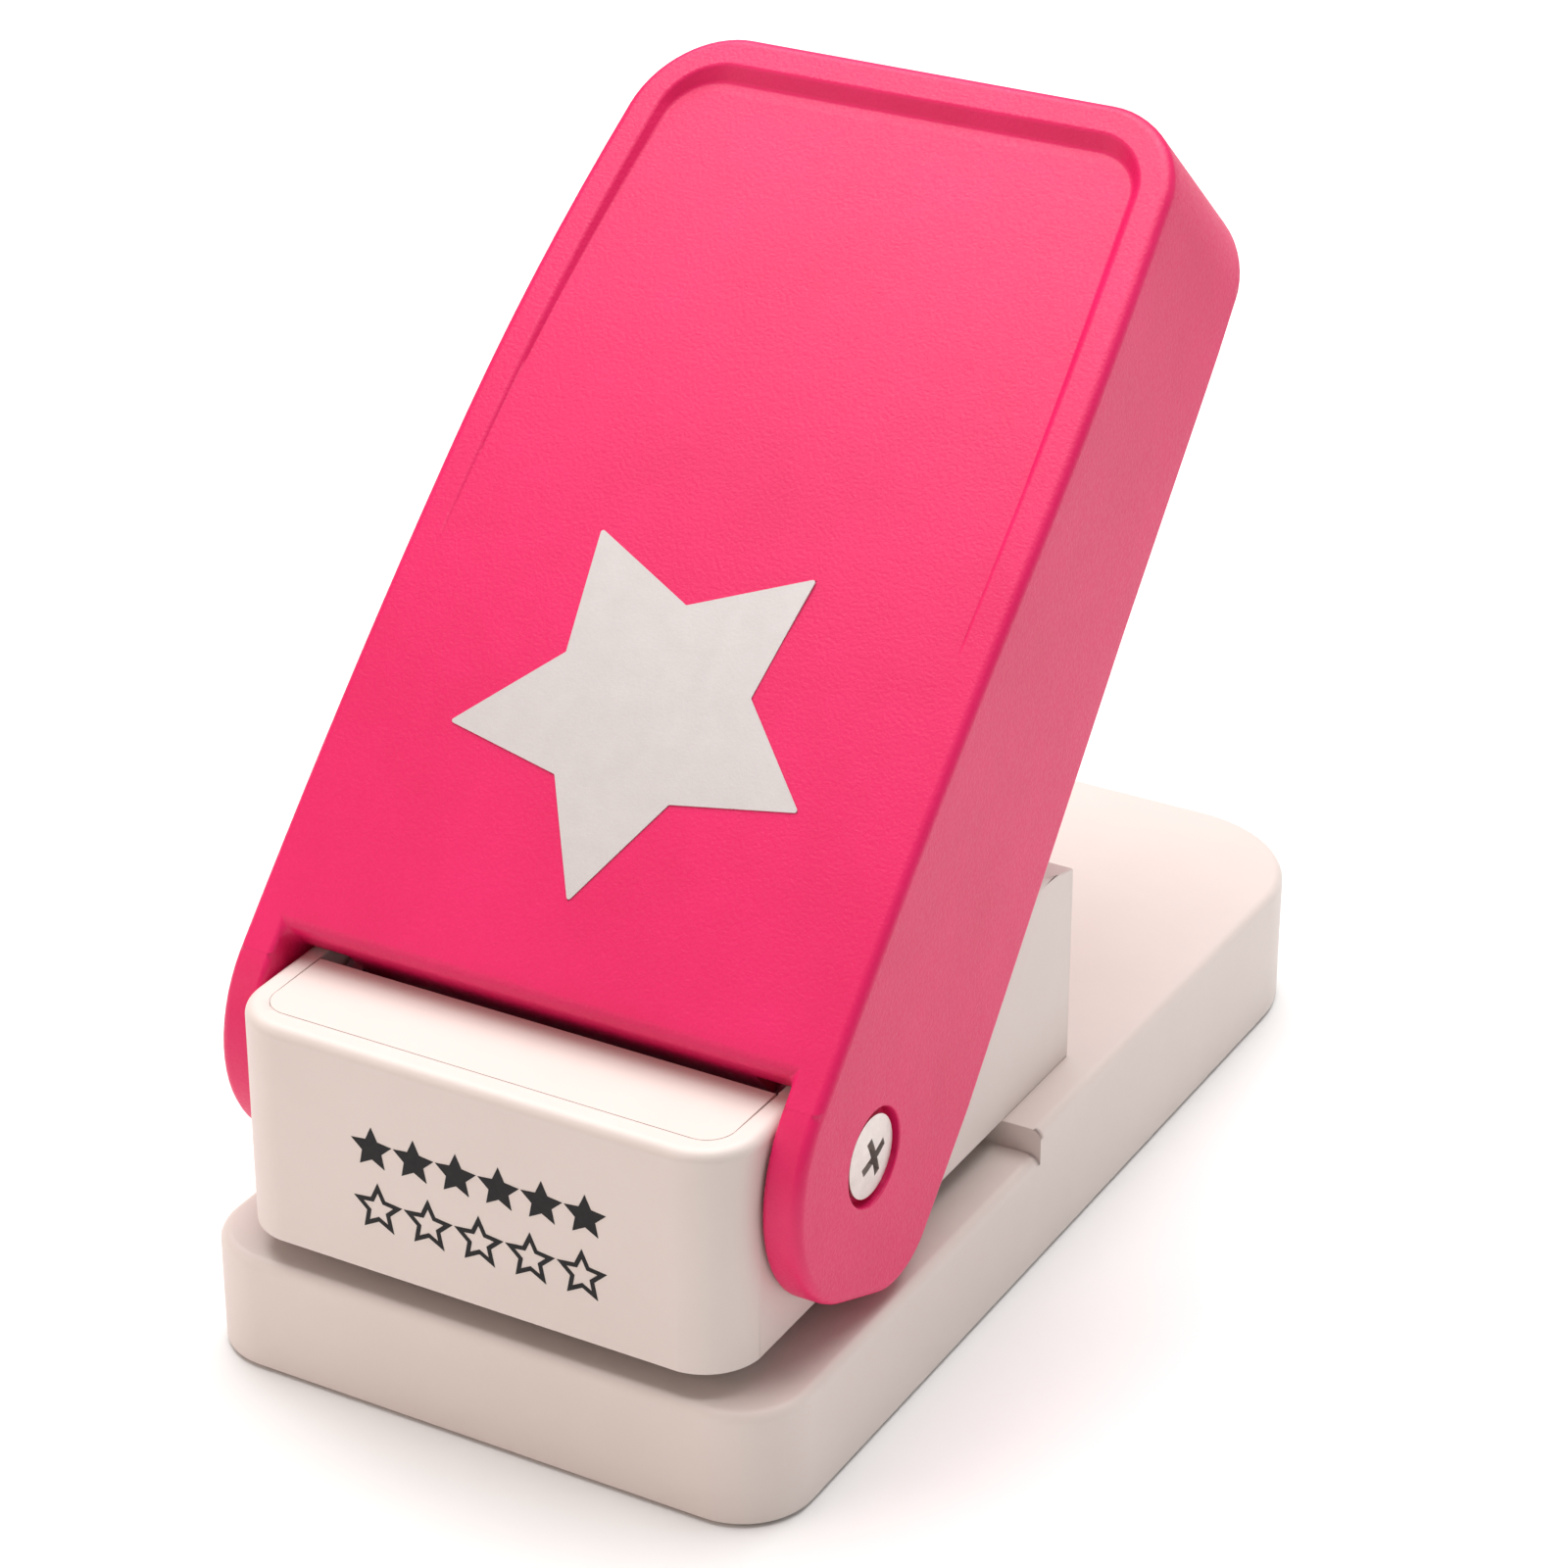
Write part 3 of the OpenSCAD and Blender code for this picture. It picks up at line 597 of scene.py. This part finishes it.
# %% A builder for node trees
class Tree:
    """A Geometry Nodes tree with named inputs, built one node at a time."""

    def __init__(self, name, **inputs):
        self.group = bpy.data.node_groups.new(name, "GeometryNodeTree")
        face = self.group.interface
        face.new_socket("Geometry", in_out="INPUT", socket_type="NodeSocketGeometry")
        for label, value in inputs.items():
            kind = "NodeSocketInt" if isinstance(value, int) else "NodeSocketFloat"
            socket = face.new_socket(label, in_out="INPUT", socket_type=kind)
            socket.default_value = value
        face.new_socket("Geometry", in_out="OUTPUT", socket_type="NodeSocketGeometry")
        self.given = self.group.nodes.new("NodeGroupInput").outputs
        self.name = name

    def add(self, kind, sockets=None, **settings):
        """Adds a node. A socket is linked when it is given an output, and set otherwise."""
        node = self.group.nodes.new(kind)
        for key, value in settings.items():
            setattr(node, key, value)
        for key, value in (sockets or {}).items():
            if isinstance(value, bpy.types.NodeSocket):
                self.group.links.new(value, node.inputs[key])
            else:
                node.inputs[key].default_value = value
        return node

    def math(self, operation, first, second=0.0):
        return self.add("ShaderNodeMath", {0: first, 1: second}, operation=operation).outputs[0]

    def vector(self, x=0.0, y=0.0, z=0.0):
        return self.add("ShaderNodeCombineXYZ", {0: x, 1: y, 2: z}).outputs[0]

    def here(self):
        """The x, y and z of the point at hand."""
        position = self.add("GeometryNodeInputPosition").outputs[0]
        return self.add("ShaderNodeSeparateXYZ", {0: position}).outputs

    def from_axis(self, spot):
        """The distance of a point from the z axis."""
        squares = [self.math("MULTIPLY", spot[axis], spot[axis]) for axis in (0, 1)]
        return self.math("SQRT", self.math("ADD", *squares))

    def moved(self, geometry, offset):
        return self.add("GeometryNodeTransform",
                        {"Geometry": geometry, "Translation": offset}).outputs[0]

    def joined(self, *parts):
        join = self.group.nodes.new("GeometryNodeJoinGeometry")
        for part in parts:
            self.group.links.new(part, join.inputs[0])
        return join.outputs[0]

    def close(self, geometry, material):
        """Makes the instances real, gives them one material and ends the tree."""
        real = self.add("GeometryNodeRealizeInstances", {"Geometry": geometry})
        made_of = self.add("GeometryNodeSetMaterial",
                           {"Geometry": real.outputs[0], "Material": material})
        self.add("NodeGroupOutput", {0: made_of.outputs[0]})
        return self


def grown(name, tree, mesh=None, place=None, **values):
    """Runs a tree on a mesh of points and returns its result as a plain object."""
    obj = add_object(name, mesh or bpy.data.meshes.new(name))
    modifier = obj.modifiers.new(tree.name, "NODES")
    modifier.node_group = tree.group
    for item in tree.group.interface.items_tree:
        if item.in_out == "INPUT" and item.name in values:
            modifier[item.identifier] = values[item.name]
    applied(obj)
    if place:
        obj.data.transform(place)
    return obj


print("every tree ends with real geometry and one material")

# %% [markdown]
# ## The star emblem
# A thin silver star is set into the lever's top. Its outline is a five pointed curve with
# slightly blunted tips. The tree fills it, cuts it into small faces and gives it its
# thickness, and then its vertices are bent to the arch. One tip points to the pivot.

# %% Emblem
STAR_A = 32.4 * MM
STAR_OUTER = 20.45 * MM
STAR_INNER = 10.85 * MM
TIP_BLUNT = 0.25 * MM
EMBLEM_PROUD = 0.12 * MM
EMBLEM_THICK = 0.9 * MM

emblem_tree = Tree("star_emblem", outer=STAR_OUTER, inner=STAR_INNER, blunt=TIP_BLUNT,
                   thick=EMBLEM_THICK)
given = emblem_tree.given
star = emblem_tree.add("GeometryNodeCurveStar", {
    "Points": 5, "Inner Radius": given["inner"], "Outer Radius": given["outer"]})
turned = emblem_tree.add("GeometryNodeTransform", {
    "Geometry": star.outputs[0], "Rotation": (0, 0, math.radians(-90))})
blunted = emblem_tree.add("GeometryNodeFilletCurve", {
    "Curve": turned.outputs[0], "Radius": given["blunt"], "Count": 4}, mode="POLY")
filled = emblem_tree.add("GeometryNodeFillCurve", {"Curve": blunted.outputs[0]})
fine = emblem_tree.add("GeometryNodeSubdivideMesh", {"Mesh": filled.outputs[0], "Level": 3})
raised = emblem_tree.add("GeometryNodeExtrudeMesh", {
    "Mesh": fine.outputs[0], "Offset": (0, 0, 1), "Offset Scale": given["thick"],
    "Individual": False})
under = emblem_tree.add("GeometryNodeFlipFaces", {"Mesh": fine.outputs[0]})
emblem_tree.close(emblem_tree.joined(raised.outputs[0], under.outputs[0]),
                  finishes["silver_inlay"])
emblem = grown("star_emblem", emblem_tree)
for vert in emblem.data.vertices:
    x, along, up = vert.co
    a = along + STAR_A
    vert.co = lever_frame @ Vector((x, a, arch(a) + EMBLEM_PROUD - EMBLEM_THICK + up))
emblem_bm = bmesh.new()
emblem_bm.from_mesh(emblem.data)
bmesh.ops.remove_doubles(emblem_bm, verts=emblem_bm.verts, dist=2 * SAME_POINT)
bmesh.ops.recalc_face_normals(emblem_bm, faces=emblem_bm.faces)
emblem_bm.to_mesh(emblem.data)
emblem_bm.free()
dress(smooth(emblem, 30), "lever_star_inlay")

# %% [markdown]
# ## Screws
# The CAD node of a kind of screw holds several separate solids. Walking from vertex to vertex
# along the edges finds them one by one, and their boxes say where each screw sits. Each gets
# a point whose `facing` says which way its head looks.

# %% Find the separate solids of a node
def solids(node_name, matrix=Matrix()):
    """The low and high corner of the box of each separate solid in a node."""
    bm = merged(node_name)
    bmesh.ops.transform(bm, matrix=matrix, verts=bm.verts)
    reached = set()
    found = []
    for first in bm.verts:
        if first in reached:
            continue
        reached.add(first)
        group = [first]
        for vert in group:
            near = [edge.other_vert(vert) for edge in vert.link_edges]
            new = [other for other in near if other not in reached]
            reached.update(new)
            group.extend(new)
        low = Vector(min(vert.co[axis] for vert in group) for axis in range(3))
        high = Vector(max(vert.co[axis] for vert in group) for axis in range(3))
        found.append((low, high))
    bm.free()
    return found


def points(name, places, facings=None):
    """A mesh of bare points, each with the direction that its copy should face."""
    mesh = bpy.data.meshes.new(name)
    mesh.from_pydata([tuple(place) for place in places], [], [])
    facing = mesh.attributes.new("facing", "FLOAT_VECTOR", "POINT")
    for item, direction in zip(facing.data, facings or [(0, 0, 1)] * len(places)):
        item.vector = direction
    return mesh


print(f"cover_screws holds {len(solids('cover_screws'))} separate screws")

# %% [markdown]
# All the screws are one tree. It makes a domed head, cuts a cross into it, and winds a thread
# on the shank with a rule: the radius falls and rises once per pitch and once per turn.

# %% One tree for every screw
HEAD_SIDES = 40
SHANK_SIDES = 16
RINGS_A_PITCH = 4.0
THREAD_DEPTH = 0.4

screw_tree = Tree("cross_head_screw", head=2.5 * MM, tall=1.4 * MM, dome=0.3 * MM,
                  shank=1.2 * MM, length=7.0 * MM, cross=1.5 * MM, slot=0.55 * MM,
                  sunk=0.7 * MM, turned=0.0, pitch=0.5 * MM)
t, given = screw_tree, screw_tree.given

blank = t.add("GeometryNodeMeshCylinder", {
    "Vertices": HEAD_SIDES, "Side Segments": 1, "Fill Segments": 5,
    "Radius": given["head"], "Depth": given["tall"]})
spot = t.here()
out = t.math("DIVIDE", t.from_axis(spot), given["head"])
drop = t.math("MULTIPLY", t.math("MULTIPLY", out, out), given["dome"])
on_top = t.math("GREATER_THAN", spot[2], 0.0)
domed = t.add("GeometryNodeSetPosition", {
    "Geometry": blank.outputs[0],
    "Offset": t.vector(0.0, 0.0, t.math("MULTIPLY", t.math("MULTIPLY", drop, on_top), -1.0))})
head = t.moved(domed.outputs[0], t.vector(0.0, 0.0, t.math("MULTIPLY", given["tall"], -0.5)))
arm = t.math("MULTIPLY", given["cross"], 2.0)
deep = t.math("MULTIPLY", given["sunk"], 2.0)
bar = t.add("GeometryNodeMeshCube", {"Size": t.vector(arm, given["slot"], deep)})
cross_bar = t.add("GeometryNodeMeshCube", {"Size": t.vector(given["slot"], arm, deep)})
crossed = t.add("GeometryNodeMeshBoolean", {"Mesh 1": head},
                operation="DIFFERENCE", solver="EXACT")
t.group.links.new(bar.outputs[0], crossed.inputs["Mesh 2"])
t.group.links.new(cross_bar.outputs[0], crossed.inputs["Mesh 2"])

pitches = t.math("DIVIDE", given["length"], given["pitch"])
rings = t.math("ROUND", t.math("MULTIPLY", pitches, RINGS_A_PITCH))
rod = t.add("GeometryNodeMeshCylinder", {
    "Vertices": SHANK_SIDES, "Side Segments": rings, "Fill Segments": 1,
    "Radius": given["shank"], "Depth": given["length"]})
angle = t.math("DIVIDE", t.math("ARCTAN2", spot[1], spot[0]), math.tau)
wave = t.math("PINGPONG", t.math("ADD", t.math("DIVIDE", spot[2], given["pitch"]), angle), 0.5)
narrow = t.math("SUBTRACT", 1.0, t.math("MULTIPLY", wave, THREAD_DEPTH))
threaded = t.add("GeometryNodeSetPosition", {
    "Geometry": rod.outputs[0],
    "Position": t.vector(t.math("MULTIPLY", spot[0], narrow),
                         t.math("MULTIPLY", spot[1], narrow), spot[2])})
half = t.math("MULTIPLY", given["length"], -0.5)
shank = t.moved(threaded.outputs[0],
                t.vector(0.0, 0.0, t.math("SUBTRACT", half, given["tall"])))
roll = t.add("GeometryNodeTransform", {
    "Geometry": t.joined(crossed.outputs[0], shank),
    "Rotation": t.vector(0.0, 0.0, given["turned"])})
facing = t.add("GeometryNodeInputNamedAttribute", {"Name": "facing"}, data_type="FLOAT_VECTOR")
aim = t.add("FunctionNodeAlignRotationToVector", {"Vector": facing.outputs[0]}, axis="Z")
copies = t.add("GeometryNodeInstanceOnPoints", {
    "Points": given["Geometry"], "Instance": roll.outputs[0], "Rotation": aim.outputs[0]})
t.close(copies.outputs[0], finishes["screw_steel"])

print(f"one tree of {len(t.group.nodes)} nodes makes every screw")

# %% [markdown]
# The points are read from the CAD screws, so that every copy sits exactly where the packed
# one did. The length comes from the CAD too, where all the screws of a node are alike. The
# rest of the sizes are given in millimetres. The cam's screws stand square on the lever, so
# they are found in its own frame.

# %% Put the screws in
DOWN = Vector((0, 0, -1))
UP = Vector((0, 0, 1))


def add_screws(node_name, facing, in_frame=Matrix(), turned=0.0, **sizes):
    """Screws on the heads of a CAD node's screws. facing None means outward along x."""
    tops = []
    facings = []
    for low, high in solids(node_name, in_frame.inverted()):
        middle = (low + high) / 2
        half = (high - low) / 2
        out = facing or Vector((math.copysign(1, middle.x), 0, 0))
        tops.append(middle + Vector(way * size for way, size in zip(out, half)))
        facings.append(out)
    length = 2 * abs(out.dot(half)) - sizes["tall"] * MM
    in_metres = {key: value * MM for key, value in sizes.items()}
    obj = grown(node_name + "_threaded", screw_tree, points(node_name, tops, facings), in_frame,
                length=length, turned=turned, **in_metres)
    dress(smooth(obj, 35), node_name)


add_screws("pivot_screws", None, turned=math.radians(20), head=4.2, tall=1.43, dome=0.35,
           shank=1.55, cross=2.2, slot=0.95, sunk=1.3)
add_screws("cover_screws", DOWN, head=2.6, tall=1.1, shank=1.2, sunk=0.65)
add_screws("frame_screws", DOWN, head=2.6, tall=2.0, shank=1.2, sunk=1.0)
add_screws("housing_screws", DOWN, head=2.8, tall=2.0, shank=1.2, sunk=1.0)
add_screws("cam_screws", DOWN, lever_frame, head=2.4, tall=1.4, shank=1.0)
add_screws("punch_screws", UP, head=2.5, tall=1.28, shank=1.0)

# %% [markdown]
# ## Return springs
# Four springs push the punch up again. A spring coiled from wire has its last turn at each
# end closed flat, so that it stands. The tree walks along a line and turns each point round;
# the height rises slowly in the first and last turn and evenly between. All four are alike.
# Their lower ends stay on the guide frame.

# %% Springs
STEPS_A_TURN = 20
TURNS = 8

spring_tree = Tree("closed_end_spring", coil=2.8 * MM, wire=0.4 * MM, tall=13.1 * MM,
                   turns=float(TURNS))
t, given = spring_tree, spring_tree.given
line = t.add("GeometryNodeCurvePrimitiveLine")
steps = t.add("GeometryNodeResampleCurve", {
    "Curve": line.outputs[0], "Count": STEPS_A_TURN * TURNS + 1})
along = t.add("GeometryNodeSplineParameter").outputs["Factor"]
turn = t.math("MULTIPLY", along, given["turns"])
first = t.math("MINIMUM", turn, 1.0)
last = t.math("MAXIMUM", t.math("SUBTRACT", turn, t.math("SUBTRACT", given["turns"], 1.0)), 0.0)
open_turns = t.math("SUBTRACT", given["turns"], 2.0)
middle = t.math("SUBTRACT", t.math("SUBTRACT", turn, first), last)
thick = t.math("MULTIPLY", given["wire"], 2.0)
open_rise = t.math("SUBTRACT", given["tall"], t.math("MULTIPLY", thick, 3.0))
height = t.math("ADD", t.math("MULTIPLY", t.math("ADD", first, last), thick),
                t.math("MULTIPLY", middle, t.math("DIVIDE", open_rise, open_turns)))
angle = t.math("MULTIPLY", turn, math.tau)
wound = t.add("GeometryNodeSetPosition", {
    "Geometry": steps.outputs[0],
    "Position": t.vector(t.math("MULTIPLY", t.math("COSINE", angle), given["coil"]),
                         t.math("MULTIPLY", t.math("SINE", angle), given["coil"]),
                         t.math("ADD", height, given["wire"]))})
section = t.add("GeometryNodeCurvePrimitiveCircle", {
    "Resolution": 8, "Radius": given["wire"]})
wire = t.add("GeometryNodeCurveToMesh", {
    "Curve": wound.outputs[0], "Profile Curve": section.outputs[0], "Fill Caps": True})
coils = t.add("GeometryNodeInstanceOnPoints", {
    "Points": given["Geometry"], "Instance": wire.outputs[0]})
t.close(coils.outputs[0], finishes["spring_steel"])

SPRINGS = [f"return_spring_{end}_{side}" for end in ("front", "rear")
           for side in ("left", "right")]
seats = []
for node_name in SPRINGS:
    low, high = solids(node_name)[0]
    seats.append(Vector(((low.x + high.x) / 2, (low.y + high.y) / 2, low.z)))
springs = grown("return_springs", spring_tree, points("springs", seats), tall=high.z - low.z)
dress(smooth(springs, 60), *SPRINGS)
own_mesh(springs)

# %% [markdown]
# ## Ribs under the lever
# A wide thin moulding would bend under a thumb, so its hollow side has a lattice of low ribs.
# One tree makes the bars along and across, and then bends all of them with the lever's arch.

# %% Lattice of ribs
RIB_FROM = 54 * MM
RIB_TO = 98 * MM
RIB_HALF = 28.6 * MM
UNDER_TOP = 3.0 * MM
LONG_RIBS_SPREAD = 0.6
PARTS_TO_BEND = 12

rib_tree = Tree("rib_lattice", tall=2.2 * MM, thick=1.1 * MM, across=5, along=4)
t, given = rib_tree, rib_tree.given


def bars(number, start, end, size):
    """A row of equal bars, spaced evenly from start to end."""
    gaps = t.math("SUBTRACT", number, 1.0)
    step = t.vector(*[t.math("DIVIDE", there - here, gaps) for here, there in zip(start, end)])
    row = t.add("GeometryNodeMeshLine", {
        "Count": number, "Start Location": start, "Offset": step})
    bar = t.add("GeometryNodeMeshCube", {"Size": size, "Vertices Y": PARTS_TO_BEND})
    return t.add("GeometryNodeInstanceOnPoints", {
        "Points": row.outputs[0], "Instance": bar.outputs[0]}).outputs[0]


rib_middle = (RIB_FROM + RIB_TO) / 2
outermost = LONG_RIBS_SPREAD * RIB_HALF
cross_bars = bars(given["across"], (0.0, RIB_FROM, 0.0), (0.0, RIB_TO, 0.0),
                  t.vector(2 * RIB_HALF, given["thick"], given["tall"]))
long_bars = bars(given["along"], (-outermost, rib_middle, 0.0), (outermost, rib_middle, 0.0),
                 t.vector(given["thick"], RIB_TO - RIB_FROM, given["tall"]))
lattice = t.add("GeometryNodeRealizeInstances", {"Geometry": t.joined(cross_bars, long_bars)})
from_middle = t.math("SUBTRACT", t.here()[1], ARCH_MIDDLE)
fall = t.math("DIVIDE", t.math("MULTIPLY", from_middle, from_middle), 2 * ARCH_RADIUS)
bent = t.add("GeometryNodeSetPosition", {
    "Geometry": lattice.outputs[0],
    "Offset": t.vector(0.0, 0.0, t.math("SUBTRACT", TOP_RISE - UNDER_TOP, fall))})
t.close(bent.outputs[0], finishes["pink_plastic"])
ribs = grown("lever_ribs", rib_tree, place=lever_frame)
dress(smooth(ribs, 30), body="lever", made_of="pink_plastic")

# %% [markdown]
# ## Printed stars
# The housing's front carries two printed rows, one of solid stars and one of outlined stars.
# The print is a film of ink a few hundredths of a millimetre thick. The tree fills a star
# curve, with a smaller star as a hole when `hollow` asks for one.

# %% Two printed rows
PRINT_MIDDLE = 0.85 * MM
PRESSED_IN = 0.02 * MM
STAR_WAIST = 0.48

print_tree = Tree("printed_star", outer=2.3 * MM, hollow=0.0, film=0.06 * MM)
t, given = print_tree, print_tree.given
outline = t.add("GeometryNodeCurveStar", {
    "Points": 5, "Outer Radius": given["outer"],
    "Inner Radius": t.math("MULTIPLY", given["outer"], STAR_WAIST)})
upright = t.add("GeometryNodeTransform", {
    "Geometry": outline.outputs[0], "Rotation": (0, 0, math.radians(90))})
smaller = t.add("GeometryNodeTransform", {
    "Geometry": upright.outputs[0],
    "Scale": t.vector(given["hollow"], given["hollow"], 1.0)})
hole = t.add("GeometryNodeSwitch", {
    "Switch": t.math("GREATER_THAN", given["hollow"], 0.0), "True": smaller.outputs[0]},
    input_type="GEOMETRY")
inked = t.add("GeometryNodeFillCurve", {"Curve": t.joined(upright.outputs[0], hole.outputs[0])})
film = t.add("GeometryNodeExtrudeMesh", {
    "Mesh": inked.outputs[0], "Offset": (0, 0, 1), "Offset Scale": given["film"],
    "Individual": False})
row = t.add("GeometryNodeInstanceOnPoints", {
    "Points": given["Geometry"], "Instance": film.outputs[0]})
t.close(row.outputs[0], print_ink)

on_front = Matrix.Translation((0, house_low.y + PRESSED_IN, 0))
stand_up = on_front @ Matrix.Rotation(math.radians(90), 4, "X")
for name, z, count, pitch, outer, hollow in (
        ("printed_solid_stars", 29.7, 6, 4.75, 2.4, 0.0),
        ("printed_outline_stars", 23.1, 5, 5.7, 2.9, 0.62)):
    spots = [(PRINT_MIDDLE + (i - (count - 1) / 2) * pitch * MM, z * MM, 0)
             for i in range(count)]
    printed = grown(name, print_tree, points(name, spots), stand_up,
                    outer=outer * MM, hollow=hollow)
    printed.data.materials.clear()
    printed.data.materials.append(print_ink)
    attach(printed, "base")
    print(f"{name}: {len(printed.data.polygons)} faces of ink")

# %% [markdown]
# ## Rubber feet
# Each foot is a soft disc with shallow rings pressed into its underside, which grip the
# table, and a small chamfer round it. One rule gives the rings: the underside follows a
# cosine of the distance from the middle.

# %% Feet
RIM_FROM = 0.98

foot_tree = Tree("ringed_foot", radius=5.0 * MM, tall=1.58 * MM, rings=3.0, deep=0.22 * MM,
                 chamfer=0.3 * MM)
t, given = foot_tree, foot_tree.given
disc = t.add("GeometryNodeMeshCylinder", {
    "Vertices": 48, "Side Segments": 1, "Fill Segments": 18,
    "Radius": given["radius"], "Depth": given["tall"]})
spot = t.here()
reach = t.math("DIVIDE", t.from_axis(spot), given["radius"])
rings = t.math("MULTIPLY", given["rings"], math.tau)
ripple = t.math("COSINE", t.math("MULTIPLY", reach, rings))
groove = t.math("MULTIPLY", t.math("SUBTRACT", 1.0, ripple),
                t.math("MULTIPLY", given["deep"], 0.5))
rim = t.math("MULTIPLY", t.math("GREATER_THAN", reach, RIM_FROM), given["chamfer"])
below = t.math("LESS_THAN", spot[2], 0.0)
pressed = t.add("GeometryNodeSetPosition", {
    "Geometry": disc.outputs[0],
    "Offset": t.vector(0.0, 0.0, t.math("MULTIPLY", t.math("ADD", groove, rim), below))})
stood = t.moved(pressed.outputs[0], t.vector(0.0, 0.0, t.math("MULTIPLY", given["tall"], 0.5)))
four = t.add("GeometryNodeInstanceOnPoints", {
    "Points": given["Geometry"], "Instance": stood})
t.close(four.outputs[0], finishes["foot_rubber"])
under = [Vector(((low.x + high.x) / 2, (low.y + high.y) / 2, low.z))
         for low, high in solids("rubber_feet")]
feet = grown("ringed_feet", foot_tree, points("feet", under))
dress(smooth(feet, 35), "rubber_feet")
